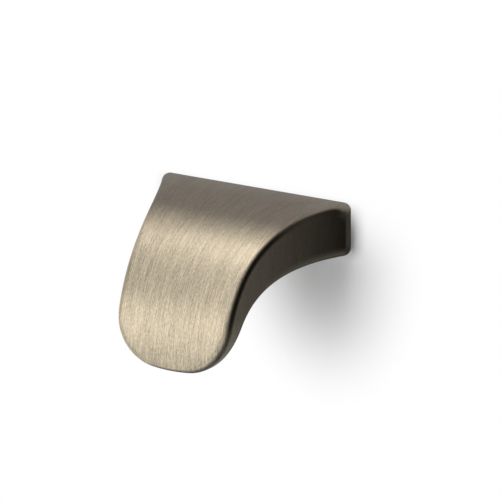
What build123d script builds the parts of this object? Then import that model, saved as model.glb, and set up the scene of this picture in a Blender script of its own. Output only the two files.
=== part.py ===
from build123d import *
import math
import os

# Cabinet knob, cast in one piece. A tongue leaves the door level, broad at the foot, narrows as it
# comes forward and curls down into a thin rounded lip, and the fingers pull from behind that lip.
# Millimetres. The foot's back lies on y = 0 against the door, and the knob reaches out along -Y.
# The origin is the middle of the screw hole's mouth, +Z is up and the knob is alike left and right.

# Foot, the end that sits on the door
foot_width = 37.9           # across the two wings, before their edges are rounded
foot_height = 9.0

# Tongue and lip
reach = 28.2                # from the door to the outer face of the lip, where it would stand upright
drop = 24.5                 # from the top of the foot to the bottom of the lip
lip_width = 21.4            # across the outer face of the lip, before its edges are rounded
lip_thickness = 3.3
lip_corner_radius = 8.4     # of the lip's two lower corners, seen from the front
lip_crown = 1.9             # how far the lip's lower edge bows down below its corners
flare_radius = 58.5         # of the two hollow sides that spread from the lip to the foot

# Side profile, how far each curve is drawn along its end before it turns
top_run = 22.5              # outer curve, level at the foot
lip_run = 13.7              # outer curve, upright below the lip
under_run = 13.9            # inner curve, level at the foot
lip_back_run = 14.4         # inner curve, upright below the lip
upright_below = 2.0         # how far below the lip both curves would stand upright

edge_round = 1.35           # on every outer edge

# Blind hole for one M4 machine screw, drilled for tapping
tap_drill_width = 3.3
hole_depth = 9.0            # of the plain wall that carries the thread
drill_point_angle = 118.0

# How far the cutting outlines run past the casting
cut_margin = 3.0

z_top = foot_height / 2
z_under = -foot_height / 2
z_tip = z_top - drop
z_upright = z_tip - upright_below
half_foot = foot_width / 2
half_lip = lip_width / 2


def side_slab():
    """The curled side profile, drawn across the full width of the foot."""
    lip_back = lip_thickness - reach
    with BuildSketch(Plane.YZ.offset(-half_foot - cut_margin)) as profile:
        with BuildLine():
            top = Bezier((0, z_top), (-top_run, z_top), (-reach, z_upright + lip_run), (-reach, z_upright))
            end = Line(top @ 1, (lip_back, z_upright))
            under = Bezier(end @ 1, (lip_back, z_upright + lip_back_run), (-under_run, z_under), (0, z_under))
            Line(under @ 1, top @ 0)
        make_face()
    return extrude(profile.sketch, amount=foot_width + 2 * cut_margin)


def flared_block():
    """The plan outline with its two hollow sides, as deep as the whole knob."""
    chord = math.hypot(half_foot - half_lip, reach)
    centre_offset = math.sqrt(flare_radius ** 2 - (chord / 2) ** 2)
    centre_x = (half_foot + half_lip) / 2 + centre_offset * reach / chord
    centre_y = -reach / 2 - centre_offset * (half_foot - half_lip) / chord
    nose_y = -reach - cut_margin
    nose_x = centre_x - math.sqrt(flare_radius ** 2 - (nose_y - centre_y) ** 2)
    with BuildSketch(Plane.XY.offset(z_tip - cut_margin)) as plan:
        with BuildLine():
            right = ThreePointArc((half_foot, 0), (half_lip, -reach), (nose_x, nose_y))
            nose = Line(right @ 1, (-nose_x, nose_y))
            left = ThreePointArc(nose @ 1, (-half_lip, -reach), (-half_foot, 0))
            Line(left @ 1, right @ 0)
        make_face()
    return extrude(plan.sketch, amount=drop + 2 * cut_margin)


def tip_block():
    """The front outline: everything above the bowed lower edge of the lip."""
    tip_radius = (half_lip ** 2 + lip_crown ** 2) / (2 * lip_crown)
    side_x = half_foot + cut_margin
    side_z = z_tip + tip_radius - math.sqrt(tip_radius ** 2 - side_x ** 2)
    with BuildSketch(Plane.XZ.offset(-cut_margin)) as front:
        with BuildLine():
            edge = ThreePointArc((-side_x, side_z), (0, z_tip), (side_x, side_z))
            Polyline(edge @ 1, (side_x, z_top + cut_margin), (-side_x, z_top + cut_margin), edge @ 0)
        make_face()
    return extrude(front.sketch, amount=reach + 2 * cut_margin)


def round_lip_corners(block):
    """Rounds the two edges where the bowed lower face meets the hollow sides."""
    long_edges = block.edges().filter_by(lambda edge: edge.bounding_box().size.Y > reach)
    low_edges = long_edges.filter_by(lambda edge: edge.center().Z < z_under)
    return fillet(low_edges, lip_corner_radius)


def screw_hole():
    """The drilled hole with its drill point, running in from the door."""
    wall = tap_drill_width / 2
    point_end = hole_depth + wall / math.tan(math.radians(drill_point_angle / 2))
    with BuildSketch(Plane.XY) as half_section:
        with BuildLine():
            Polyline((0, 0), (wall, 0), (wall, -hole_depth), (0, -point_end), close=True)
        make_face()
    return revolve(half_section.sketch, Axis.Y)


def knob():
    casting = side_slab() & round_lip_corners(flared_block() & tip_block())
    rounded = fillet(casting.edges(), min(edge_round, 0.45 * lip_thickness))
    return rounded - screw_hole()


os.makedirs("parts", exist_ok=True)
export_step(knob(), "parts/knob.step")
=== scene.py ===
import math
from collections import namedtuple

import bmesh
import bpy
import numpy as np
from bpy.props import FloatProperty, FloatVectorProperty, IntProperty, PointerProperty
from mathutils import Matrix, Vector


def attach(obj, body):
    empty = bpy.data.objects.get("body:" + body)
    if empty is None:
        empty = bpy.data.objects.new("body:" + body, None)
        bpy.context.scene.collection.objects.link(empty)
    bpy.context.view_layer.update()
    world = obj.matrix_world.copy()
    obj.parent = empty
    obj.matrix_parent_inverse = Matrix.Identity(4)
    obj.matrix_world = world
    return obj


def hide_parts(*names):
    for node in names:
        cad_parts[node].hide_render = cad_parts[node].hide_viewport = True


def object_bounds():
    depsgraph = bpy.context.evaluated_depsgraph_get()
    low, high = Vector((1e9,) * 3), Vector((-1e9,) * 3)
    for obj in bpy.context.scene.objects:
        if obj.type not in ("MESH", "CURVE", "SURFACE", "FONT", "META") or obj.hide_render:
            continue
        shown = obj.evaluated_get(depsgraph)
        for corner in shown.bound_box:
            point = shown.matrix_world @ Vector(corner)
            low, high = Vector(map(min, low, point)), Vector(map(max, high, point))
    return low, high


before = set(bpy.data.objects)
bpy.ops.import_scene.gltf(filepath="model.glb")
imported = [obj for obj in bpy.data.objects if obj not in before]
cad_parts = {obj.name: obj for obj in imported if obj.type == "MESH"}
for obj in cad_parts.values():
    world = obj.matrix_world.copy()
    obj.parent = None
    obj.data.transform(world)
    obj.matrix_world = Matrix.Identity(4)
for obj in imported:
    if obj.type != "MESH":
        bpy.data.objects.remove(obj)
CAD_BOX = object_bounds()

bl_info = {
    "name": "Cabinet Knob",
    "version": (1, 0, 0),
    "blender": (4, 5, 0),
    "location": "3D View > Sidebar > Knob",
    "description": "Builds a cast cabinet knob in brushed antique brass and the studio that it is shown in",
    "category": "Add Mesh",
}

PHOTO_PIXELS = 500
SENSOR_WIDTH_MM = 36.0
BRUSHING_MAP = "Brushing"
EXACT_NORMAL = "exact_normal"
FRONT_MASK = "front"
WEAR_AND_SHEEN_MASK = "edge"
SHADE_LINE_MASK = "line"
MASKS = (FRONT_MASK, WEAR_AND_SHEEN_MASK, SHADE_LINE_MASK)
BACKWARD = np.array((0.0, 1.0, 0.0))
LEAST_ANGLE = 1e-9
WELD_GAP = 1e-7
SHARP_ANGLE = math.radians(35)

# How far edges are lightened, partly as wear and partly as a painted highlight, where one is lightened
# through, and over which distances that fades
LOW_EDGE_WEAR_AND_SHEEN = 0.3
REAR_EDGE_WEAR_AND_SHEEN = 0.8
RIM_REAR_WEAR_AND_SHEEN = 0.55
SIDE_WEAR_AND_SHEEN = 1.0
REAR_WEAR_AND_SHEEN_RUN = 0.005
SIDE_WEAR_AND_SHEEN_RUN = 0.010
CORNER_WEAR_AND_SHEEN_RUN = 0.0018

# Where the wear and painted highlight start and where they are whole, from the middle of the front to its
# side and round an edge
SIDE_WEAR_AND_SHEEN_ACROSS = (0.68, 0.92)
SIDE_WEAR_AND_SHEEN_ROUND = (0.5, 0.0)
WORN_AND_LIT_RISE = (0.0, 0.3)
WORN_AND_LIT_FALL = (1.0, 0.6)

# Where the brush stops round the front's edge, and how softly, as shares of the way round
BRUSH_END_FOOT = 0.36
BRUSH_END_LIP = 0.27
FOOT_FURTHER = 0.32
LEFT_FURTHER = 0.30
BRUSH_FADE = 0.22
DOOR_FADE = 0.55

# Where the brush's end changes, as shares of the way from the door to the lip or from the middle to the left
LIP_END_REACH = (0.0, 0.5)
FURTHER_REACH = (0.16, 0.0)
DOOR_REACH = 0.065
LEFT_ACROSS = (0.0, -0.5)

# The dark line round the front, painted shade that stands in for a dark reflection on the rounding: across
# its width, along its length, and how much fainter it is at the lip and on the left
LINE_RISE = (0.38, 0.62)
LINE_FALL = (0.97, 0.72)
LINE_REACH = (0.25, 0.60)
LINE_DROP = (0.40, 0.90)
LIP_SHADE_FADE = 0.4
LEFT_SHADE_FADE = 0.8

# How far the back and the hole are brushed, how much finer the back is, and how far marks draw together
BACK_BRUSHED = 0.5
HOLE_BRUSHED = 0.45
BACK_FINENESS = 2.5
MARK_FAN = 0.5

# Profile of the thread: how steep its flanks are, and how much of a crest is flat
FLANK_STEEPNESS = 1.25
CREST_FLAT = 0.2

# Layers of brush marks: width and length in those of the finest marks, and how much each counts
MarkLayer = namedtuple("MarkLayer", "width length seed weight")
MARK_LAYERS = (
    MarkLayer(width=1.0, length=1.0, seed=0.37, weight=1.0),
    MarkLayer(width=0.87, length=1 / 9, seed=3.61, weight=1.15),
    MarkLayer(width=3.0, length=3.0, seed=7.43, weight=0.12),
    MarkLayer(width=18.0, length=4.0, seed=13.29, weight=0.26),
)
STRAY_SCRATCHES = MarkLayer(width=0.8, length=5.0, seed=21.7, weight=1.0)
SCRATCH_RANGE = (0.25, 0.60)

# Shares of the finish's own distances and contrast, and how much the marks change roughness and relief
SCRATCH_START = 0.4
FULL_MARKS_START = 1.4
DULL_MARKS = 0.5
# Share of its end distance from the door within which the front's painted light is whole
PAINTED_LIGHT_LEAN_WHOLE = 0.75
ROUGHNESS_SPREAD = 0.05
RELIEF_STRENGTH = 0.5

# Sockets of a colour mix node
MIX_FACTOR = 0
MIX_START = 6
MIX_END = 7
MIX_RESULT = 2


# Settings

def length(name, description, default):
    """A size in metres."""
    return FloatProperty(name=name, description=description, default=default, unit="LENGTH", precision=5)


def angle(name, description, degrees):
    """An angle, given in degrees and kept in radians."""
    return FloatProperty(name=name, description=description, default=math.radians(degrees), subtype="ANGLE")


def share(name, description, default):
    """A part of one."""
    return FloatProperty(name=name, description=description, default=default, min=0, max=1, subtype="FACTOR")


def colour(name, description, default):
    """A linear colour."""
    return FloatVectorProperty(
        name=name, description=description, default=default, size=3, min=0, max=1, subtype="COLOR")


def direction(name, description, default):
    """A direction as seen from the knob."""
    return FloatVectorProperty(
        name=name, description=description, default=default, size=3, subtype="DIRECTION")


def brightness(name, default):
    """The brightness of a softbox, where one is white."""
    return FloatProperty(name=name, description="Brightness of its face", default=default, min=0)


def divisions(name, description, default, least):
    """A count of steps in the mesh."""
    return IntProperty(name=name, description=description, default=default, min=least)


class KnobSizes(bpy.types.PropertyGroup):
    """Sizes of the casting and of the thread in its back"""

    foot_width: length("Foot width", "Across the two wings, before their edges are rounded", 0.0379)
    foot_height: length("Foot height", "Of the end that sits on the door", 0.0090)
    reach: length("Reach", "From the door to the outer face of the lip, where it would stand upright", 0.0282)
    drop: length("Drop", "From the top of the foot to the bottom of the lip", 0.0245)
    lip_width: length("Lip width", "Across the outer face of the lip, before its edges are rounded", 0.0214)
    lip_thickness: length("Lip thickness", "Through the lip from front to back", 0.0033)
    lip_corner_radius: length(
        "Lip corner radius", "Of the lip's two lower corners, seen from the front", 0.0084)
    lip_crown: length("Lip crown", "How far the lip's lower edge bows down below its corners", 0.0019)
    flare_radius: length(
        "Flare radius", "Of the two hollow sides that spread from the lip to the foot", 0.0585)
    top_run: length("Top run", "Straight pull of the outer curve at the foot", 0.0225)
    lip_run: length("Lip run", "Straight pull of the outer curve at the lip", 0.0137)
    under_run: length("Under run", "Straight pull of the inner curve at the foot", 0.0139)
    lip_back_run: length("Lip back run", "Straight pull of the inner curve at the lip", 0.0144)
    upright_below: length("Upright below", "How far below the lip both curves would stand upright", 0.0020)
    edge_round: length("Edge rounding", "Radius on every outer edge", 0.00135)
    tap_drill_width: length("Tap drill width", "Width of the hole inside the thread's crests", 0.0033)
    thread_width: length("Thread width", "Width of the hole at the bottom of the thread's grooves", 0.0040)
    thread_pitch: length("Thread pitch", "From one turn of the thread to the next", 0.0007)
    thread_length: length("Thread length", "How deep the thread is cut", 0.0080)
    mouth_width: length("Mouth width", "Width of the chamfer that leads the screw in", 0.0043)
    hole_depth: length("Hole depth", "From the back of the foot to the end of the plain wall", 0.0090)
    drill_point_angle: angle("Drill point angle", "Of the cone at the bottom of the hole", 118.0)


class KnobMeshSteps(bpy.types.PropertyGroup):
    """How finely the casting's surface is divided"""

    side: divisions("Side", "Steps along each hollow side", 84, 8)
    corner: divisions("Corner", "Steps round each lower corner of the lip", 32, 4)
    corner_rows: divisions("Corner rows", "Steps of a corner that end rows of the broad faces", 14, 1)
    low: divisions("Lower edge", "Steps along the lip's lower edge", 18, 2)
    rim: divisions("Rim", "Steps across the rim between its rounded edges", 12, 2)
    edge: divisions("Edge", "Steps round each edge", 10, 2)
    back: divisions("Back", "Steps from the outline of the back to the hole", 6, 1)
    thread: divisions("Thread", "Steps along one pitch of the thread", 10, 4)


class KnobFinish(bpy.types.PropertyGroup):
    """Colours and brush marks of the antique brass"""

    brass: colour(
        "Brass", "Bright metal where the dark layer is brushed away", (0.58, 0.50, 0.372))
    # Partly the dull antique finish and partly painted shade: the top of the foot is darker near the door,
    # standing in for a dark reflection there
    shaded_dull_brass: colour(
        "Dull brass", "Top of the foot, where the brush only scratches the dark layer", (0.200, 0.171, 0.138))
    dark_layer: colour(
        "Dark layer", "Sides and underside next to the door, left dark", (0.005, 0.0038, 0.0026))
    # Painted reflection: the dark layer on the sides and underside turns lighter toward the lip and stays
    # darkest at the door, as the lit and shaded wall it faces
    lit_toward_lip_layer: colour(
        "Handled layer", "Sides and underside at the lip, where hands have thinned the dark layer",
        (0.108, 0.094, 0.072))
    # Painted shade: a dark band round the front's edge, standing in for a dark reflection on the rounding
    painted_shade_line: colour(
        "Edge line", "Thick dark layer round the front, just beyond the brush", (0.010, 0.008, 0.006))
    # Partly wear and partly painted reflection: the lip's lower end is lighter beside the front
    rubbed_and_lit_layer: colour(
        "Rubbed layer", "Lower end of the lip beside the front, where fingers rub most",
        (0.240, 0.210, 0.165))
    # Partly wear and partly painted highlight: lighter edges, and lighter brass along the top of the foot at
    # the door
    worn_and_lit_edge: colour("Worn edge", "Edges where the dark layer is rubbed", (0.082, 0.076, 0.060))
    worn_and_lit_brass: colour("Worn brass", "Top of the foot along its edge at the door", (0.250, 0.224, 0.192))
    edge_tint: share("Edge tint", "How much light the metal keeps at a glancing angle", 0.62)
    rubbed_and_lit_start: length("Rubbed start", "How far below the hole fingers start to rub the lip", 0.010)
    rubbed_and_lit_end: length("Rubbed end", "How far below the hole fingers have rubbed it most", 0.019)
    # Where that painted shade near the door gives way to bright brass
    dull_shade_end: length(
        "Dull end", "Distance along the front from the door at which the brush starts to bite", 0.0117)
    bright_start: length("Bright start", "Distance from the door at which the dark layer is gone", 0.0200)
    ragged: length("Ragged", "How far single marks bite before or after the others", 0.0003)
    roughness: share("Roughness", "Of the brushed metal", 0.44)
    anisotropy: share("Anisotropy", "How much the brushing draws highlights out across the marks", 0.7)
    mark_width: length("Mark width", "Of the finest brush marks", 0.0001)
    mark_length: length("Mark length", "Of the finest brush marks", 0.0040)
    mark_contrast: share("Mark contrast", "Light and dark of the brush marks", 0.64)
    mark_depth: length("Mark depth", "Of the brush marks as a relief", 0.000003)
    # Painted light: the brushed front is made brighter on its right and darker on its left
    painted_light_lean: share("Lean", "How much brighter the front is brushed on the right, and duller on the left", 0.09)
    painted_light_lean_width: length("Lean width", "How far apart those two are", 0.022)
    painted_light_lean_end: length(
        "Lean end", "Distance along the front from the door at which both are the same again", 0.036)
    scratches: share(
        "Scratches", "How much brass shows in the stray scratches above the brushed part", 0.30)


class StudioSettings(bpy.types.PropertyGroup):
    """Wall, floor, lamps and camera"""

    wall_colour: colour("Wall colour", "Door front that the knob sits on", (0.96, 0.96, 0.96))
    shade_centre: FloatVectorProperty(
        name="Shade centre", description="Middle of the part of the wall that shows the knob's shadow",
        default=(0.0124, 0.0, -0.0071), size=3, subtype="XYZ", unit="LENGTH")
    shade_radius: length(
        "Shade radius", "How far from that middle the wall shows most of its own shade", 0.0018)
    shade_strength: share("Shade strength", "How much of its own shade the wall shows there", 0.86)
    white_radius: length("White radius", "How far from that middle the wall is paper white", 0.0199)
    shade_stretch: FloatProperty(
        name="Shade stretch", description="How much further both reach up and down", default=1.28, min=0.1)
    white_height: length("White height", "How far above the hole the wall is paper white too", 0.0067)
    white_fade: length("White fade", "How far below that height the wall starts to turn white", 0.0142)
    contact_strength: share(
        "Contact strength", "How much of its own shade the wall shows right beside the foot", 0.90)
    contact_reach: length("Contact reach", "How far from the foot that goes", 0.0027)
    contact_height: length("Contact height", "How far above the hole none of it is left", 0.0059)
    contact_fade: length("Contact fade", "How far below that height it is whole", 0.0075)
    floor_colour: colour("Floor colour", "Pale floor below the knob", (0.80, 0.80, 0.80))
    floor_white: share("Floor white", "How much paper white the floor shows with its own shade", 0.85)
    floor_drop: length("Floor drop", "From the knob down to the floor", 0.18)
    stage_size: length("Stage size", "Width of the wall and of the floor", 5.0)
    wall_inset: length("Wall inset", "How far the wall covers the back edge of the foot", 0.0002)
    room_level: share("Room level", "Even light from the room", 0.25)

    overhead_direction: direction("Overhead direction", "Softbox above", (-0.15, -0.19, 0.97))
    overhead_distance: length("Overhead distance", "From the knob", 0.90)
    overhead_width: length("Overhead width", "Left to right", 0.60)
    overhead_height: length("Overhead height", "Front to back", 0.50)
    overhead_level: brightness("Overhead level", 2.2)

    key_direction: direction(
        "Key direction", "Softbox in front, above and a little left", (-0.30, -0.675, 0.675))
    key_distance: length("Key distance", "From the knob", 0.90)
    key_width: length("Key width", "Left to right", 0.62)
    key_height: length("Key height", "Top to bottom", 0.66)
    key_level: brightness("Key level", 1.21)

    front_direction: direction("Front direction", "Softbox low in front and left", (-0.50, -0.855, 0.145))
    front_distance: length("Front distance", "From the knob", 0.90)
    front_width: length("Front width", "Left to right", 0.64)
    front_height: length("Front height", "Top to bottom", 0.40)
    front_level: brightness("Front level", 2.15)

    rear_direction: direction(
        "Rear direction", "Softbox behind the wall, for the knob's back", (-0.25, 0.85, 0.45))
    rear_distance: length("Rear distance", "From the knob", 0.80)
    rear_width: length("Rear width", "Left to right", 1.00)
    rear_height: length("Rear height", "Top to bottom", 0.80)
    rear_level: brightness("Rear level", 1.2)

    view_azimuth: angle("View azimuth", "Of the camera, from straight in front toward the right", 31.76)
    view_elevation: angle("View elevation", "Of the camera, above level", 16.10)
    view_distance: length("View distance", "From the camera to the top of the foot", 0.90)
    photo_scale: FloatProperty(
        name="Photo scale", description="Pixels to a metre at the top of the foot", default=6104.0, min=1)
    foot_pixel: FloatVectorProperty(
        name="Foot pixel", description="Where the photo has the middle of the foot's top at the door",
        default=(259.85, 185.5), size=2)


# Form of the casting

def blend(start, end, amount):
    """From start to end by a share of the way."""
    return start + (end - start) * amount


def turn_toward(start, end, amount):
    """Turns unit vectors toward others by a share of the angle between them."""
    between = np.arccos(np.clip((start * end).sum(-1, keepdims=True), -1.0, 1.0))
    between = np.maximum(between, LEAST_ANGLE)
    return (np.sin((1 - amount) * between) * start + np.sin(amount * between) * end) / np.sin(between)


def ease(amount):
    """A share of the way that starts and stops softly."""
    amount = np.clip(amount, 0.0, 1.0)
    return amount * amount * (3 - 2 * amount)


def rise(value, start, end):
    """Nothing at the start and one at the end, softly, whichever of them is the larger."""
    return ease((value - start) / (end - start))


class SideCurve:
    """A curve of the side profile, from the door to the lip, sunk into the metal by the edge rounding.

    A run is a distance along the curve's own surface from the door.
    """

    SAMPLES = 4000

    def __init__(self, corners, outward, sink):
        first, second, third, last = (np.array(corner) for corner in corners)
        t = np.linspace(0.0, 1.0, self.SAMPLES)[:, None]
        back = 1 - t
        surface = back ** 3 * first + 3 * back ** 2 * t * second + 3 * back * t ** 2 * third + t ** 3 * last
        pull = back ** 2 * (second - first) + 2 * back * t * (third - second) + t ** 2 * (last - third)
        pull /= np.linalg.norm(pull, axis=1, keepdims=True)
        self.normal = outward * np.column_stack((pull[:, 1], -pull[:, 0]))
        self.sunk = surface - sink * self.normal
        steps = np.linalg.norm(np.diff(surface, axis=0), axis=1)
        self.runs = np.concatenate(([0.0], np.cumsum(steps)))
        self.start = np.interp(sink, -self.sunk[:, 0], self.runs)

    def place(self, run):
        """The sunk y and z at a run, in the last axis."""
        return np.stack([np.interp(run, self.runs, self.sunk[:, axis]) for axis in (0, 1)], axis=-1)

    def normal_at(self, run):
        """The outward normal at a run, in three dimensions."""
        facing = np.stack([np.interp(run, self.runs, self.normal[:, axis]) for axis in (0, 1)], axis=-1)
        facing /= np.linalg.norm(facing, axis=-1, keepdims=True)
        return np.concatenate((np.zeros_like(facing[..., :1]), facing), axis=-1)

    def run_at_height(self, z):
        """The run at which the sunk curve has come down to a height."""
        return np.interp(-z, -self.sunk[:, 1], self.runs)

    def y_at_height(self, z):
        """How far out the sunk curve is at a height."""
        return np.interp(-z, -self.sunk[:, 1], self.sunk[:, 0])


class CastingForm:
    """The casting as a smaller sharp-edged body that a ball of the edge rounding rolls round."""

    SEARCH_STEPS = 30

    def __init__(self, sizes):
        self.ball = sizes.edge_round
        top = sizes.foot_height / 2
        tip = top - sizes.drop
        upright = tip - sizes.upright_below
        lip_back = sizes.lip_thickness - sizes.reach
        lip_front = -sizes.reach
        outer = ((0, top), (-sizes.top_run, top), (lip_front, upright + sizes.lip_run), (lip_front, upright))
        under = ((0, -top), (-sizes.under_run, -top),
                 (lip_back, upright + sizes.lip_back_run), (lip_back, upright))
        self.outer = SideCurve(outer, 1, self.ball)
        self.under = SideCurve(under, -1, self.ball)

        half_foot = sizes.foot_width / 2
        half_lip = sizes.lip_width / 2
        chord = math.hypot(half_foot - half_lip, sizes.reach)
        offset = math.sqrt(sizes.flare_radius ** 2 - (chord / 2) ** 2)
        self.flare_x = (half_foot + half_lip) / 2 + offset * sizes.reach / chord
        self.flare_y = -sizes.reach / 2 - offset * (half_foot - half_lip) / chord
        self.flare_radius = sizes.flare_radius
        self.tip_radius = (half_lip ** 2 + sizes.lip_crown ** 2) / (2 * sizes.lip_crown)
        self.tip_z = tip + self.tip_radius
        self.corner_radius = sizes.lip_corner_radius

    def half_width(self, y, sink):
        """Half the width of the casting between its hollow sides."""
        return self.flare_x - np.sqrt((self.flare_radius + sink) ** 2 - (y - self.flare_y) ** 2)

    def side(self, y, z):
        """Sunk points of the right hollow side, and their normals."""
        x = self.half_width(y, self.ball)
        normal = np.stack((self.flare_x - x, self.flare_y - y, np.zeros_like(y)), axis=-1)
        return np.stack((x, y, z), axis=-1), normal / (self.flare_radius + self.ball)

    def corner(self, centre_y, turn):
        """Sunk points of the right lower corner, and their normals.

        The corner is what a ball of its radius touches while it rolls along the side and the lower edge.
        A turn of 0 is the side, and 1 is the lower edge.
        """
        centre_x = self.half_width(centre_y, self.corner_radius)
        inner_radius = self.tip_radius - self.corner_radius
        centre_z = self.tip_z - np.sqrt(inner_radius ** 2 - centre_x ** 2)
        flat = np.zeros_like(centre_x)
        sideways = np.stack((self.flare_x - centre_x, self.flare_y - centre_y, flat), axis=-1)
        sideways /= self.flare_radius + self.corner_radius
        downward = np.stack((centre_x, flat, centre_z - self.tip_z), axis=-1) / inner_radius
        normal = turn_toward(sideways, downward, np.broadcast_to(turn, centre_x.shape)[..., None])
        centre = np.stack((centre_x, centre_y, centre_z), axis=-1)
        return centre + (self.corner_radius - self.ball) * normal, normal

    def corner_centre(self, curve, turn):
        """How far out the corner's ball is where each turn of the corner meets a side curve."""
        centre_y = np.full_like(turn, curve.y_at_height(self.tip_z - self.tip_radius + self.corner_radius))
        for _ in range(self.SEARCH_STEPS):
            point, _normal = self.corner(centre_y, turn)
            centre_y = centre_y + curve.y_at_height(point[..., 2]) - point[..., 1]
        return centre_y

    def lower_height(self, x):
        """Height of the lip's sunk lower edge."""
        return self.tip_z - np.sqrt((self.tip_radius - self.ball) ** 2 - x ** 2)

    def lower(self, x, y):
        """Sunk points of the lip's lower edge, and their normals."""
        z = self.lower_height(x)
        normal = np.stack((x, np.zeros_like(x), z - self.tip_z), axis=-1)
        return np.stack((x, y, z), axis=-1), normal / (self.tip_radius - self.ball)


def mirrored(vectors):
    """The left-hand twin of points or normals on the right."""
    return vectors * np.array((-1.0, 1.0, 1.0))


class Patch:
    """A grid of points with their normals, brush map and masks. Without normals it is shaded by its faces."""

    def __init__(self, points, normals, brush, front=0.0, edge=0.0, line=0.0):
        shape = points.shape[:2]
        self.points = points
        self.normals = np.zeros_like(points) if normals is None else normals
        self.brush = brush
        masks = {FRONT_MASK: front, WEAR_AND_SHEEN_MASK: edge, SHADE_LINE_MASK: line}
        self.masks = {name: np.broadcast_to(values, shape) for name, values in masks.items()}


def rim_body(form, steps):
    """Sunk points and normals of the rim, from the foot's right end round the lip to its left end."""
    across = np.linspace(0.0, 1.0, steps.rim + 1)
    turn = np.linspace(0.0, 1.0, steps.corner + 1)
    centre_y = blend(form.corner_centre(form.outer, turn)[:, None],
                     form.corner_centre(form.under, turn)[:, None], across)
    corner, corner_normal = form.corner(centre_y, turn[:, None])

    along = np.linspace(0.0, 1.0, steps.side + 1)
    outer_run = blend(form.outer.start, form.outer.run_at_height(corner[0, 0, 2]), along)
    under_run = blend(form.under.start, form.under.run_at_height(corner[0, -1, 2]), along)
    place = blend(form.outer.place(outer_run)[:, None], form.under.place(under_run)[:, None], across[:, None])
    side, side_normal = form.side(place[..., 0], place[..., 1])

    low_share = np.linspace(1.0, -1.0, steps.low + 1)[:, None]
    x = blend(corner[-1, 0, 0], corner[-1, -1, 0], across) * low_share
    z = form.lower_height(x)
    y = blend(form.outer.y_at_height(z[:, :1]), form.under.y_at_height(z[:, -1:]), across)
    low, low_normal = form.lower(x, y)

    right = np.concatenate((side[:-1], corner[:-1]))
    right_normal = np.concatenate((side_normal[:-1], corner_normal[:-1]))
    body = np.concatenate((right, low, mirrored(right)[::-1]))
    normal = np.concatenate((right_normal, low_normal, mirrored(right_normal)[::-1]))
    return body, normal


def broad_face(curve, edge, rows):
    """Run and x over a broad face, filled in from its edge round the lip and a straight row at the door."""
    run = curve.run_at_height(edge[:, 2])
    run[[0, -1]] = curve.start
    painted_shade_line = np.stack((edge[:, 0], run), axis=-1)
    last = len(edge) - 1
    columns = last - 2 * rows
    v = np.linspace(0.0, 1.0, rows + 1)[:, None, None]
    u = np.linspace(0.0, 1.0, columns + 1)[None, :, None]
    right = painted_shade_line[:rows + 1][:, None]
    left = painted_shade_line[last - rows:][::-1][:, None]
    bottom = painted_shade_line[rows:last - rows + 1][None]
    top = blend(painted_shade_line[0], painted_shade_line[last], u)
    corners = blend(blend(right[0], left[0], u), blend(right[-1], left[-1], u), v)
    filled = blend(top, bottom, v) + blend(right, left, u) - corners
    return filled[..., 0], filled[..., 1]


def brushed_across(form, x, y):
    """How far across the front a brush mark runs, so that the marks draw together a little toward the lip."""
    middle_half_width = form.half_width(form.flare_y / 2, 0.0)
    return x * (middle_half_width / form.half_width(y, form.ball)) ** MARK_FAN


def face_patch(form, curve, edge, rows, front):
    """A broad face with its normals, lighter toward the door by abrasion and a painted highlight, and the
    sunk row of it at the door.
    """
    x, run = broad_face(curve, edge, rows)
    sunk = np.concatenate((x[..., None], curve.place(run)), axis=-1)
    normal = curve.normal_at(run)
    brush = np.stack((brushed_across(form, x, sunk[..., 1]), run), axis=-1)
    rubbed_and_lit = REAR_EDGE_WEAR_AND_SHEEN * rise(run, curve.start + REAR_WEAR_AND_SHEEN_RUN, curve.start)
    beside = rise(np.abs(x) / form.half_width(sunk[..., 1], form.ball), *SIDE_WEAR_AND_SHEEN_ACROSS)
    rubbed_and_lit = np.maximum(rubbed_and_lit, SIDE_WEAR_AND_SHEEN * front * beside * rise(-sunk[..., 1], SIDE_WEAR_AND_SHEEN_RUN, 0.0))
    return Patch(sunk + form.ball * normal, normal, brush, front, rubbed_and_lit), sunk[0], normal[0]


def round_over(form, curve, edge, edge_normal, steps):
    """Normals and brush map of a rounded edge, from a broad face over to the rim."""
    turn = np.linspace(0.0, 1.0, steps.edge + 1)[:, None]
    run = curve.run_at_height(edge[:, 2])
    face_normal = curve.normal_at(run)
    normal = turn_toward(face_normal[:, None], edge_normal[:, None], turn)
    bend = np.arccos(np.clip((face_normal * edge_normal).sum(-1), -1.0, 1.0))[:, None]
    gone = form.ball * bend * turn[:, 0]
    across = brushed_across(form, edge[:, 0], edge[:, 1])[:, None] + gone * edge_normal[:, :1]
    along = run[:, None] - gone * edge_normal[:, 2:]
    return normal, np.stack((across, along), axis=-1)


def worn_and_lit(turn, start):
    """How far an edge is lightened, partly as abrasion and partly as a painted highlight, from a face that it
    starts on round to the next one.
    """
    return blend(start, 1.0, rise(turn, *WORN_AND_LIT_RISE)) * rise(turn, *WORN_AND_LIT_FALL)


def rim_wear_and_sheen(turn):
    """How much less the rim is lightened at the door than the top is, round the edge between them, by
    abrasion and a painted highlight.
    """
    return blend(1.0, RIM_REAR_WEAR_AND_SHEEN, ease(turn))


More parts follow.
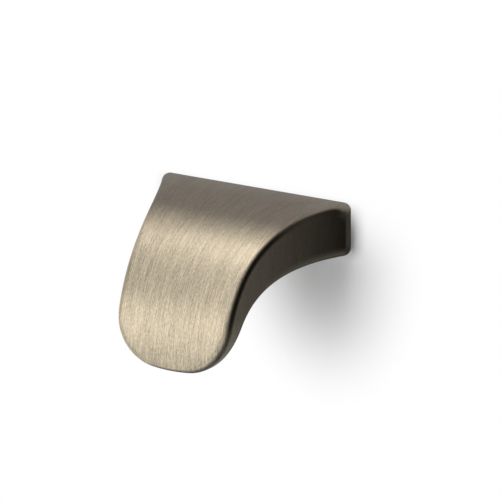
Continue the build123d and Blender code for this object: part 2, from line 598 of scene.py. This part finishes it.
def brush_limit(edge, turn):
    """Masks round the front's edge: the brushed front, the lighter edge near the door and the dark line
    beside it.

    The brush reaches further round at the foot and on the left, and it ends softly at the door.
    The lighter edge is partly abrasion and partly a painted highlight. The dark line is painted shade; it
    starts away from the door and is fainter at the lip and on the left.
    """
    reach = edge[:, 1:2] / edge[:, 1].min()
    drop = edge[:, 2:3] / edge[:, 2].min()
    left = rise(edge[:, :1] / edge[:, 0].max(), *LEFT_ACROSS)
    near_door = rise(reach, reach.min() + DOOR_REACH, reach.min())
    further = np.maximum(FOOT_FURTHER * rise(reach, *FURTHER_REACH), LEFT_FURTHER * left)
    end = blend(BRUSH_END_FOOT, BRUSH_END_LIP, rise(reach, *LIP_END_REACH)) + further
    brushed = 1 - ease((turn - end) / blend(BRUSH_FADE, DOOR_FADE, near_door))
    beside = SIDE_WEAR_AND_SHEEN * rise(-edge[:, 1:2], SIDE_WEAR_AND_SHEEN_RUN, 0.0) * rise(turn, *SIDE_WEAR_AND_SHEEN_ROUND)
    rubbed_and_lit = np.maximum(REAR_EDGE_WEAR_AND_SHEEN * rim_wear_and_sheen(turn) * near_door, beside)
    # Painted shade: the dark line, made fainter at the lip and on the left
    line = rise(turn, *LINE_RISE) * rise(turn, *LINE_FALL) * rise(reach, *LINE_REACH)
    thinned = (1 - LIP_SHADE_FADE * rise(drop, *LINE_DROP)) * (1 - LEFT_SHADE_FADE * left)
    return brushed, rubbed_and_lit, line * thinned


def rim_patches(form, steps, body, body_normal):
    """The rim with its two rounded edges, and its sunk points and normals at the door."""
    turn = np.linspace(0.0, 1.0, steps.edge + 1)
    outer_normal, outer_brush = round_over(form, form.outer, body[:, 0], body_normal[:, 0], steps)
    under_normal, under_brush = round_over(form, form.under, body[:, -1], body_normal[:, -1], steps)
    outer = body[:, :1] + form.ball * outer_normal
    under = body[:, -1:] + form.ball * under_normal
    brushed, rubbed_and_lit, line = brush_limit(body[:, 0], turn)
    patches = [
        Patch(outer, outer_normal, outer_brush, brushed, rubbed_and_lit, line),
        Patch(under, under_normal, under_brush, edge=worn_and_lit(1 - turn, LOW_EDGE_WEAR_AND_SHEEN)),
    ]

    flat = body + form.ball * body_normal
    # Partly wear and partly painted highlight: lighter lower edge and rear corners of the rim
    flat_edge = np.zeros(flat.shape[:2])
    flat_edge[:, -1] = LOW_EDGE_WEAR_AND_SHEEN
    rear_wear_and_sheen = REAR_EDGE_WEAR_AND_SHEEN * RIM_REAR_WEAR_AND_SHEEN
    for end in (0, -1):
        away = np.linalg.norm(flat - flat[end, 0], axis=-1)
        flat_edge = np.maximum(flat_edge, rear_wear_and_sheen * rise(away, CORNER_WEAR_AND_SHEEN_RUN, 0.0))
        flat_edge[end] = rear_wear_and_sheen
    upright = np.stack((flat[..., 1], flat[..., 2]), axis=-1)
    level = np.stack((flat[..., 0], flat[..., 1]), axis=-1)
    low_start = steps.side + steps.corner // 2
    low_end = len(flat) - 1 - low_start
    spans = ((0, low_start, upright), (low_start, low_end, level), (low_end, len(flat) - 1, upright))
    for first, last, brush in spans:
        span = slice(first, last + 1)
        patches.append(Patch(flat[span], body_normal[span], brush[span], edge=flat_edge[span]))

    ends = []
    for end in (0, -1):
        sunk = np.concatenate((
            np.repeat(body[end, :1], len(turn), axis=0), body[end, 1:-1],
            np.repeat(body[end, -1:], len(turn), axis=0)))
        normal = np.concatenate((outer_normal[end], body_normal[end, 1:-1], under_normal[end][::-1]))
        unbrushed = np.zeros(len(sunk) - len(turn))
        plain = np.full(len(sunk) - 2 * len(turn), RIM_REAR_WEAR_AND_SHEEN)
        wear_and_sheen = np.concatenate((rim_wear_and_sheen(turn), plain, rim_wear_and_sheen(turn)[::-1]))
        ends.append((sunk, normal, np.concatenate((brushed[end], unbrushed)), wear_and_sheen))
    return patches, ends


def rear_edge(form, steps, sunk, normal, front, wear_and_sheen):
    """A row at the door rounded over into the back."""
    turn = np.linspace(0.0, 1.0, steps.edge + 1)[:, None, None]
    facing = turn_toward(normal[None], BACKWARD, turn)
    points = sunk + form.ball * facing
    brush = np.stack((points[..., 0], points[..., 1] - points[..., 2]), axis=-1)
    brushed = blend(front, BACK_BRUSHED, ease(turn[..., 0]))
    # Partly wear and partly painted highlight: lighter round the edge at the door
    return Patch(points, facing, brush, brushed, wear_and_sheen * worn_and_lit(turn[..., 0], REAR_EDGE_WEAR_AND_SHEEN))


def hole_circle(count, first, radius):
    """Angles of a ring of points with the first few centred on the right, and the ring itself."""
    turn = (first / 2 - np.arange(count + 1)) * 2 * np.pi / count
    ring = np.stack((radius * np.cos(turn), np.zeros(count + 1), radius * np.sin(turn)), axis=-1)
    return turn, ring


def back_patch(steps, outline, ring):
    """The flat back between its outline and the mouth of the hole."""
    inward = np.linspace(0.0, 1.0, steps.back + 1)[:, None, None]
    points = blend(outline, ring, inward)
    brush = BACK_FINENESS * np.stack((points[..., 2], points[..., 0] - outline[..., 0].max()), axis=-1)
    return Patch(points, None, brush, BACK_BRUSHED)


def thread_patch(sizes, steps, turn):
    """The tapped hole: a chamfered mouth, a right-hand thread, plain wall and the drill's point."""
    crest = sizes.tap_drill_width / 2
    groove = sizes.thread_width / 2 - crest
    mouth = sizes.mouth_width / 2
    turns = math.ceil(sizes.thread_length / sizes.thread_pitch)
    climb = (np.arange((turns + 1) * steps.thread + 1) / steps.thread - 1)[:, None]
    wound = (turn - turn.min()) / (2 * np.pi)
    depth = np.clip((climb + wound) * sizes.thread_pitch, 0.0, sizes.thread_length)
    phase = np.mod(climb, 1.0)
    flank = np.clip(FLANK_STEEPNESS * (1 - np.abs(2 * phase - 1)) - CREST_FLAT, 0.0, 1.0)
    fade = np.clip((sizes.thread_length - depth) / sizes.thread_pitch, 0.0, 1.0)
    radius = np.maximum(crest + groove * flank * fade, mouth - depth)

    point_length = crest / math.tan(sizes.drill_point_angle / 2)
    ends = ((sizes.hole_depth, crest), (sizes.hole_depth + point_length / 2, crest / 2),
            (sizes.hole_depth + point_length, 0.0))
    for end_depth, end_radius in ends:
        depth = np.concatenate((depth, np.full_like(depth[:1], end_depth)))
        radius = np.concatenate((radius, np.full_like(radius[:1], end_radius)))
    points = np.stack((radius * np.cos(turn), -depth, radius * np.sin(turn)), axis=-1)
    brush = np.stack((depth, np.broadcast_to(turn * crest, depth.shape)), axis=-1)
    return Patch(points, None, brush, HOLE_BRUSHED)


def casting_patches(sizes, steps):
    """Every part of the casting's surface."""
    form = CastingForm(sizes)
    body, body_normal = rim_body(form, steps)
    rows = steps.side + steps.corner_rows
    front, front_sunk, front_normal = face_patch(form, form.outer, body[:, 0], rows, 1.0)
    under, under_sunk, under_normal = face_patch(form, form.under, body[:, -1], rows, 0.0)
    rims, ends = rim_patches(form, steps, body, body_normal)
    doorways = [*ends, (front_sunk, front_normal, 1.0, 1.0), (under_sunk, under_normal, 0.0, 1.0)]
    rear = [rear_edge(form, steps, *row) for row in doorways]
    outline = np.concatenate((
        body[0], under_sunk[1:], body[-1][::-1][1:], front_sunk[::-1][1:])) + form.ball * BACKWARD
    turn, ring = hole_circle(len(outline) - 1, steps.rim, sizes.mouth_width / 2)
    back = back_patch(steps, outline, ring)
    return [front, under, *rims, *rear, back, thread_patch(sizes, steps, turn)]


def grid_faces(first, rows, columns):
    """Corner numbers of the quads of a grid of points."""
    number = first + np.arange(rows * columns).reshape(rows, columns)
    quads = np.stack((number[:-1, :-1], number[:-1, 1:], number[1:, 1:], number[1:, :-1]), axis=-1)
    return quads.reshape(-1, 4)


def join_patches(name, patches):
    """One closed mesh from patches that share their edges."""
    points = np.concatenate([patch.points.reshape(-1, 3) for patch in patches])
    normals = np.concatenate([patch.normals.reshape(-1, 3) for patch in patches])
    brush = np.concatenate([patch.brush.reshape(-1, 2) for patch in patches])
    faces = []
    first = 0
    for patch in patches:
        rows, columns = patch.points.shape[:2]
        faces.extend(grid_faces(first, rows, columns).tolist())
        first += rows * columns
    mesh = bpy.data.meshes.new(name)
    mesh.from_pydata(points.tolist(), [], faces)
    corner_points = np.empty(len(mesh.loops), dtype=np.int32)
    mesh.loops.foreach_get("vertex_index", corner_points)
    mesh.uv_layers.new(name=BRUSHING_MAP).uv.foreach_set("vector", brush[corner_points].ravel())
    for mask in MASKS:
        values = np.concatenate([patch.masks[mask].reshape(-1) for patch in patches])
        mesh.attributes.new(mask, "FLOAT", "POINT").data.foreach_set("value", values)
    mesh.attributes.new(EXACT_NORMAL, "FLOAT_VECTOR", "POINT").data.foreach_set("vector", normals.ravel())
    return mesh


def weld(mesh):
    """Closes the seams between patches, faces everything outward and marks sharp edges."""
    made = bmesh.new()
    made.from_mesh(mesh)
    bmesh.ops.remove_doubles(made, verts=made.verts, dist=WELD_GAP)
    bmesh.ops.recalc_face_normals(made, faces=made.faces)
    open_edges = sum(1 for edge in made.edges if not edge.is_manifold)
    if open_edges:
        raise RuntimeError(f"the casting's surface has {open_edges} open edges")
    for edge in made.edges:
        edge.smooth = edge.calc_face_angle() < SHARP_ANGLE
    for face in made.faces:
        face.smooth = True
    made.to_mesh(mesh)
    made.free()


def keep_exact_normals(mesh):
    """Shades the casting by the normals of its form, and the hole by its faces."""
    normals = np.empty(len(mesh.vertices) * 3, dtype=np.float32)
    mesh.attributes[EXACT_NORMAL].data.foreach_get("vector", normals)
    mesh.normals_split_custom_set_from_vertices(normals.reshape(-1, 3).tolist())
    mesh.attributes.remove(mesh.attributes[EXACT_NORMAL])


# Materials

def add_node(tree, kind, inputs=None, **settings):
    """A node with its settings and with each input linked or set."""
    made = tree.nodes.new(kind)
    for name, value in settings.items():
        setattr(made, name, value)
    for name, value in (inputs or {}).items():
        if isinstance(value, bpy.types.NodeSocket):
            tree.links.new(value, made.inputs[name])
        else:
            made.inputs[name].default_value = value
    return made


def calculate(tree, operation, *values):
    """The output of a math node."""
    node = add_node(tree, "ShaderNodeMath", dict(enumerate(values)), operation=operation)
    return node.outputs[0]


def ramp(tree, value, start, end, low=0.0, high=1.0, soft=False):
    """The output of a map range node, from low at the start to high at the end."""
    node = add_node(
        tree, "ShaderNodeMapRange",
        {"Value": value, "From Min": start, "From Max": end, "To Min": low, "To Max": high},
        interpolation_type="SMOOTHSTEP" if soft else "LINEAR")
    return node.outputs["Result"]


def vector_math(tree, operation, *values, output="Vector"):
    """An output of a vector math node."""
    node = add_node(tree, "ShaderNodeVectorMath", dict(enumerate(values)), operation=operation)
    return node.outputs[output]


def opaque(rgb):
    """A colour with its alpha."""
    return (*rgb, 1.0)


def mix_colour(tree, amount, start, end):
    """The output of a colour mix node, between colours or the outputs of other nodes."""
    ends = [value if isinstance(value, bpy.types.NodeSocket) else opaque(value) for value in (start, end)]
    node = add_node(
        tree, "ShaderNodeMix", {MIX_FACTOR: amount, MIX_START: ends[0], MIX_END: ends[1]}, data_type="RGBA")
    return node.outputs[MIX_RESULT]


def new_material(name):
    """A material with an empty node tree and its output node."""
    material = bpy.data.materials.new(name)
    material.use_nodes = True
    tree = material.node_tree
    tree.nodes.clear()
    return material, tree, tree.nodes.new("ShaderNodeOutputMaterial")


def brush_marks_group():
    """Long thin marks along a brush map, from -1 to 1."""
    group = bpy.data.node_groups.new("Brush Marks", "ShaderNodeTree")
    group.interface.new_socket("Brush Map", in_out="INPUT", socket_type="NodeSocketVector")
    for name in ("Width", "Length", "Seed"):
        group.interface.new_socket(name, in_out="INPUT", socket_type="NodeSocketFloat")
    group.interface.new_socket("Marks", in_out="OUTPUT", socket_type="NodeSocketFloat")
    source = group.nodes.new("NodeGroupInput")
    sink = group.nodes.new("NodeGroupOutput")
    parts = add_node(group, "ShaderNodeSeparateXYZ", {0: source.outputs["Brush Map"]})
    across = calculate(group, "DIVIDE", parts.outputs["X"], source.outputs["Width"])
    along = calculate(group, "DIVIDE", parts.outputs["Y"], source.outputs["Length"])
    place = add_node(group, "ShaderNodeCombineXYZ", {"X": across, "Y": along, "Z": source.outputs["Seed"]})
    noise = add_node(group, "ShaderNodeTexNoise", {
        "Vector": place.outputs[0], "Scale": 1.0, "Detail": 1.0, "Roughness": 0.5})
    centred = calculate(group, "MULTIPLY_ADD", noise.outputs["Fac"], 2.0, -1.0)
    group.links.new(centred, sink.inputs["Marks"])
    return group


def add_marks(tree, group, brush, finish, layer):
    """The output of one layer of brush marks."""
    node = add_node(tree, "ShaderNodeGroup", node_tree=group)
    tree.links.new(brush, node.inputs["Brush Map"])
    node.inputs["Width"].default_value = layer.width * finish.mark_width
    node.inputs["Length"].default_value = layer.length * finish.mark_length
    node.inputs["Seed"].default_value = layer.seed
    return node.outputs["Marks"]


def antique_brass(finish, reach):
    """Brass darkened all over, then brushed bright along the front, with painted shade and light: darker near
    the door and in a line round the front, the dark layer lighter toward the lip, lighter edges, and a
    lighter right side of the front.
    """
    material, tree, output = new_material("antique brass")
    group = brush_marks_group()
    brush = add_node(tree, "ShaderNodeUVMap", uv_map=BRUSHING_MAP).outputs["UV"]
    front, edge, line = (
        add_node(tree, "ShaderNodeAttribute", attribute_name=mask).outputs["Fac"] for mask in MASKS)
    marks = 0.0
    for layer in MARK_LAYERS:
        made = add_marks(tree, group, brush, finish, layer)
        marks = calculate(tree, "MULTIPLY_ADD", made, layer.weight, marks)

    map_parts = add_node(tree, "ShaderNodeSeparateXYZ", {0: brush}).outputs
    across = map_parts["X"]
    run = map_parts["Y"]
    ragged_run = calculate(tree, "MULTIPLY_ADD", marks, finish.ragged, run)
    # Painted shade: the front stays dull and dark near the door and turns to bright brass further out
    bite = ramp(tree, ragged_run, finish.dull_shade_end, finish.bright_start, soft=True)
    scratch = ramp(tree, add_marks(tree, group, brush, finish, STRAY_SCRATCHES), *SCRATCH_RANGE)
    scratched = ramp(tree, run, SCRATCH_START * finish.dull_shade_end, finish.dull_shade_end, high=finish.scratches)
    bite = calculate(tree, "MAXIMUM", bite, calculate(tree, "MULTIPLY", scratch, scratched))

    place = tree.nodes.new("ShaderNodeTexCoord").outputs["Object"]
    place_parts = add_node(tree, "ShaderNodeSeparateXYZ", {0: place}).outputs
    # Painted reflection and shade: the dark layer lighter toward the lip and at the lip's lower end, darkest
    # at the door
    lit_toward_lip = ramp(tree, place_parts["Y"], 0.0, -reach)
    rubbed_and_lit = ramp(tree, place_parts["Z"], -finish.rubbed_and_lit_start, -finish.rubbed_and_lit_end)
    # Partly wear and partly painted highlight: lighter brass along the top of the foot at the door and at the
    # front's sides near it
    face = mix_colour(tree, edge, finish.shaded_dull_brass, finish.worn_and_lit_brass)
    face = mix_colour(tree, bite, face, finish.brass)
    dark = mix_colour(tree, lit_toward_lip, finish.dark_layer, finish.lit_toward_lip_layer)
    dark = mix_colour(tree, rubbed_and_lit, dark, finish.rubbed_and_lit_layer)
    # Painted shade: the dark line round the front's edge
    dark = mix_colour(tree, line, dark, finish.painted_shade_line)
    # Partly wear and partly painted highlight: lighter edges
    dark = mix_colour(tree, edge, dark, finish.worn_and_lit_edge)
    plain = mix_colour(tree, front, dark, face)

    contrast = ramp(tree, run, finish.dull_shade_end, FULL_MARKS_START * finish.bright_start,
                    DULL_MARKS * finish.mark_contrast, finish.mark_contrast)
    gain = calculate(tree, "MULTIPLY_ADD", marks, contrast, 1.0)
    # Painted light: brighter on the right of the front and darker on its left, fading out toward the lip
    painted_light_lean = ramp(tree, across, -finish.painted_light_lean_width / 2, finish.painted_light_lean_width / 2, -finish.painted_light_lean, finish.painted_light_lean)
    painted_light_leaning = ramp(tree, run, finish.painted_light_lean_end, PAINTED_LIGHT_LEAN_WHOLE * finish.painted_light_lean_end)
    painted_light_lean = calculate(tree, "MULTIPLY", painted_light_lean, calculate(tree, "MULTIPLY", bite, painted_light_leaning))
    gain = calculate(tree, "MULTIPLY_ADD", painted_light_lean, front, gain)
    marked = add_node(tree, "ShaderNodeVectorMath", {0: plain, "Scale": gain}, operation="SCALE")

    rough = calculate(tree, "MULTIPLY_ADD", marks, ROUGHNESS_SPREAD, finish.roughness)
    bump = add_node(tree, "ShaderNodeBump", {
        "Height": marks, "Strength": RELIEF_STRENGTH, "Distance": finish.mark_depth})
    tangent = add_node(tree, "ShaderNodeTangent", direction_type="UV_MAP", uv_map=BRUSHING_MAP)
    surface = add_node(tree, "ShaderNodeBsdfPrincipled", {
        "Base Color": marked.outputs[0], "Metallic": 1.0, "Roughness": rough,
        "Specular Tint": opaque([finish.edge_tint] * 3), "Anisotropic": finish.anisotropy,
        "Normal": bump.outputs[0], "Tangent": tangent.outputs[0]})
    tree.links.new(surface.outputs[0], output.inputs["Surface"])
    return material


def seen_directly(tree):
    """One where a sheet of the stage is looked at, also in a reflection, and the plain camera ray."""
    path = tree.nodes.new("ShaderNodeLightPath")
    seen = calculate(tree, "MAXIMUM", path.outputs["Is Camera Ray"], path.outputs["Is Glossy Ray"])
    seen = calculate(tree, "MAXIMUM", seen, path.outputs["Is Transmission Ray"])
    return seen, path.outputs["Is Camera Ray"]


def stage_paint(tree, output, paint_colour, white, camera_ray):
    """Matt paint that is seen as paper white by a share, and that the camera looks through from behind."""
    paint = add_node(tree, "ShaderNodeBsdfDiffuse", {"Color": opaque(paint_colour)})
    paper = add_node(tree, "ShaderNodeEmission", {"Strength": 1.0})
    front = add_node(tree, "ShaderNodeMixShader", {0: white, 1: paint.outputs[0], 2: paper.outputs[0]})
    behind = tree.nodes.new("ShaderNodeNewGeometry").outputs["Backfacing"]
    clear = calculate(tree, "MULTIPLY", behind, camera_ray)
    nothing = tree.nodes.new("ShaderNodeBsdfTransparent")
    surface = add_node(tree, "ShaderNodeMixShader", {0: clear, 1: front.outputs[0], 2: nothing.outputs[0]})
    tree.links.new(surface.outputs[0], output.inputs["Surface"])


def below(tree, height, top, fade):
    """One well below a height on the wall, and nothing above it."""
    return ramp(tree, height, top, top - fade, soft=True)


def beside_foot(tree, place, foot_corner, reach):
    """One on the wall right beside the foot, and nothing out of its reach."""
    outside = vector_math(tree, "SUBTRACT", vector_math(tree, "ABSOLUTE", place), foot_corner)
    outside = vector_math(tree, "MAXIMUM", outside, (0, 0, 0))
    away = vector_math(tree, "LENGTH", outside, output="Value")
    return ramp(tree, away, reach, 0.0, soft=True)


def wall_paint(studio, foot_corner):
    """Matt paint that shows the knob's shadow, and is paper white further off."""
    material, tree, output = new_material("wall paint")
    seen, camera_ray = seen_directly(tree)
    place = tree.nodes.new("ShaderNodeNewGeometry").outputs["Position"]
    height = add_node(tree, "ShaderNodeSeparateXYZ", {0: place}).outputs["Z"]
    offset = vector_math(tree, "SUBTRACT", place, studio.shade_centre)
    evened = vector_math(tree, "MULTIPLY", offset, (1.0, 1.0, 1 / studio.shade_stretch))
    away = vector_math(tree, "LENGTH", evened, output="Value")
    shaded = ramp(tree, away, studio.white_radius, studio.shade_radius, high=studio.shade_strength, soft=True)
    low = below(tree, height, studio.white_height, studio.white_fade)
    shaded = calculate(tree, "MULTIPLY", shaded, low)
    beside = beside_foot(tree, place, foot_corner, studio.contact_reach)
    beside = calculate(tree, "MULTIPLY", beside, studio.contact_strength)
    low = below(tree, height, studio.contact_height, studio.contact_fade)
    beside = calculate(tree, "MULTIPLY", beside, low)
    white = seen
    for own_shade in (shaded, beside):
        white = calculate(tree, "MULTIPLY", white, calculate(tree, "SUBTRACT", 1.0, own_shade))
    stage_paint(tree, output, studio.wall_colour, white, camera_ray)
    return material


def floor_paint(studio):
    """Plain pale matt paint."""
    material, tree, output = new_material("floor paint")
    seen, camera_ray = seen_directly(tree)
    white = calculate(tree, "MULTIPLY", seen, studio.floor_white)
    stage_paint(tree, output, studio.floor_colour, white, camera_ray)
    return material


# Studio

def add_sheet(name, centre, facing, size, material):
    """A square sheet of the stage."""
    half = size / 2
    mesh = bpy.data.meshes.new(name)
    corners = [(-half, -half, 0), (half, -half, 0), (half, half, 0), (-half, half, 0)]
    mesh.from_pydata(corners, [], [(0, 1, 2, 3)])
    mesh.materials.append(material)
    sheet = bpy.data.objects.new(name, mesh)
    sheet.location = centre
    sheet.rotation_mode = "QUATERNION"
    sheet.rotation_quaternion = facing.to_track_quat("Z", "Y")
    bpy.context.scene.collection.objects.link(sheet)


def add_softbox(name, toward, distance, width, height, level):
    """A softbox that faces the knob, as bright as its level all over."""
    light = bpy.data.lights.new(name, "AREA")
    light.shape = "RECTANGLE"
    light.size = width
    light.size_y = height
    light.energy = math.pi * width * height * level
    lamp = bpy.data.objects.new(name, light)
    place = Vector(toward).normalized() * distance
    lamp.location = place
    lamp.rotation_mode = "QUATERNION"
    lamp.rotation_quaternion = (-place).to_track_quat("-Z", "Y")
    lamp.visible_camera = False
    bpy.context.scene.collection.objects.link(lamp)


def add_room_light(level):
    """Even light from all round."""
    world = bpy.data.worlds.new("room")
    world.use_nodes = True
    background = world.node_tree.nodes["Background"]
    background.inputs["Color"].default_value = opaque([level] * 3)
    bpy.context.scene.world = world


def add_camera(studio, foot_top):
    """The camera of the photo, aimed so that the foot's top falls on its pixel."""
    azimuth = studio.view_azimuth
    elevation = studio.view_elevation
    toward = Vector((math.sin(azimuth) * math.cos(elevation), -math.cos(azimuth) * math.cos(elevation),
                     math.sin(elevation)))
    right = Vector((math.cos(azimuth), math.sin(azimuth), 0.0))
    up = toward.cross(right)
    pixels_right = studio.foot_pixel[0] - PHOTO_PIXELS / 2
    pixels_up = PHOTO_PIXELS / 2 - studio.foot_pixel[1]
    target = foot_top - (right * pixels_right + up * pixels_up) / studio.photo_scale
    data = bpy.data.cameras.new("photo camera")
    data.sensor_width = SENSOR_WIDTH_MM
    data.lens = SENSOR_WIDTH_MM * studio.photo_scale * studio.view_distance / PHOTO_PIXELS
    data.clip_start = studio.view_distance / 10
    data.clip_end = studio.stage_size * 2
    camera = bpy.data.objects.new("photo camera", data)
    camera.location = foot_top + toward * studio.view_distance
    camera.rotation_mode = "QUATERNION"
    camera.rotation_quaternion = (target - camera.location).to_track_quat("-Z", "Y")
    bpy.context.scene.collection.objects.link(camera)
    bpy.context.scene.camera = camera


# Operators and panel

class KNOB_OT_casting(bpy.types.Operator):
    """Build the casting with its rounded edges, tapped hole and brushed finish"""

    bl_idname = "knob.casting"
    bl_label = "Casting"
    bl_options = {"REGISTER", "UNDO"}

    def execute(self, context):
        scene = context.scene
        mesh = join_patches("knob_casting", casting_patches(scene.knob_sizes, scene.knob_steps))
        weld(mesh)
        keep_exact_normals(mesh)
        mesh.materials.append(antique_brass(scene.knob_finish, scene.knob_sizes.reach))
        casting = bpy.data.objects.new("knob_casting", mesh)
        scene.collection.objects.link(casting)
        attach(casting, "root")
        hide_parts("knob")
        return {"FINISHED"}


class KNOB_OT_studio(bpy.types.Operator):
    """Set up the wall, the floor, the lamps and the camera"""

    bl_idname = "knob.studio"
    bl_label = "Studio"
    bl_options = {"REGISTER", "UNDO"}

    def execute(self, context):
        studio = context.scene.knob_studio
        size = studio.stage_size
        sizes = context.scene.knob_sizes
        foot_corner = (CAD_BOX[1][0], size, sizes.foot_height / 2 - sizes.edge_round)
        paint = wall_paint(studio, foot_corner)
        add_sheet("wall", Vector((0, -studio.wall_inset, 0)), Vector((0, -1, 0)), size, paint)
        add_sheet("floor", Vector((0, 0, -studio.floor_drop)), Vector((0, 0, 1)), size, floor_paint(studio))
        for lamp in ("overhead", "key", "front", "rear"):
            settings = [getattr(studio, f"{lamp}_{part}")
                        for part in ("direction", "distance", "width", "height", "level")]
            add_softbox(f"{lamp} softbox", *settings)
        add_room_light(studio.room_level)
        add_camera(studio, Vector((0, 0, sizes.foot_height / 2)))
        context.scene.view_settings.view_transform = "Standard"
        return {"FINISHED"}


class KNOB_PT_panel(bpy.types.Panel):
    """Sizes, finish and studio of the knob"""

    bl_idname = "KNOB_PT_panel"
    bl_label = "Cabinet Knob"
    bl_space_type = "VIEW_3D"
    bl_region_type = "UI"
    bl_category = "Knob"

    def draw(self, context):
        scene = context.scene
        parts = (
            (KNOB_OT_casting, (scene.knob_sizes, scene.knob_steps, scene.knob_finish)),
            (KNOB_OT_studio, (scene.knob_studio,)),
        )
        for operator, groups in parts:
            box = self.layout.box()
            box.operator(operator.bl_idname)
            for group in groups:
                for name in group.__annotations__:
                    box.prop(group, name)


CLASSES = (
    KnobSizes, KnobMeshSteps, KnobFinish, StudioSettings,
    KNOB_OT_casting, KNOB_OT_studio, KNOB_PT_panel,
)
SETTINGS = {
    "knob_sizes": KnobSizes,
    "knob_steps": KnobMeshSteps,
    "knob_finish": KnobFinish,
    "knob_studio": StudioSettings,
}


def register():
    for cls in CLASSES:
        bpy.utils.register_class(cls)
    for name, group in SETTINGS.items():
        setattr(bpy.types.Scene, name, PointerProperty(type=group))


def unregister():
    for name in SETTINGS:
        delattr(bpy.types.Scene, name)
    for cls in reversed(CLASSES):
        bpy.utils.unregister_class(cls)


def main():
    register()
    bpy.ops.knob.casting()
    bpy.ops.knob.studio()
    bpy.context.view_layer.update()


if __name__ == "__main__":
    main()
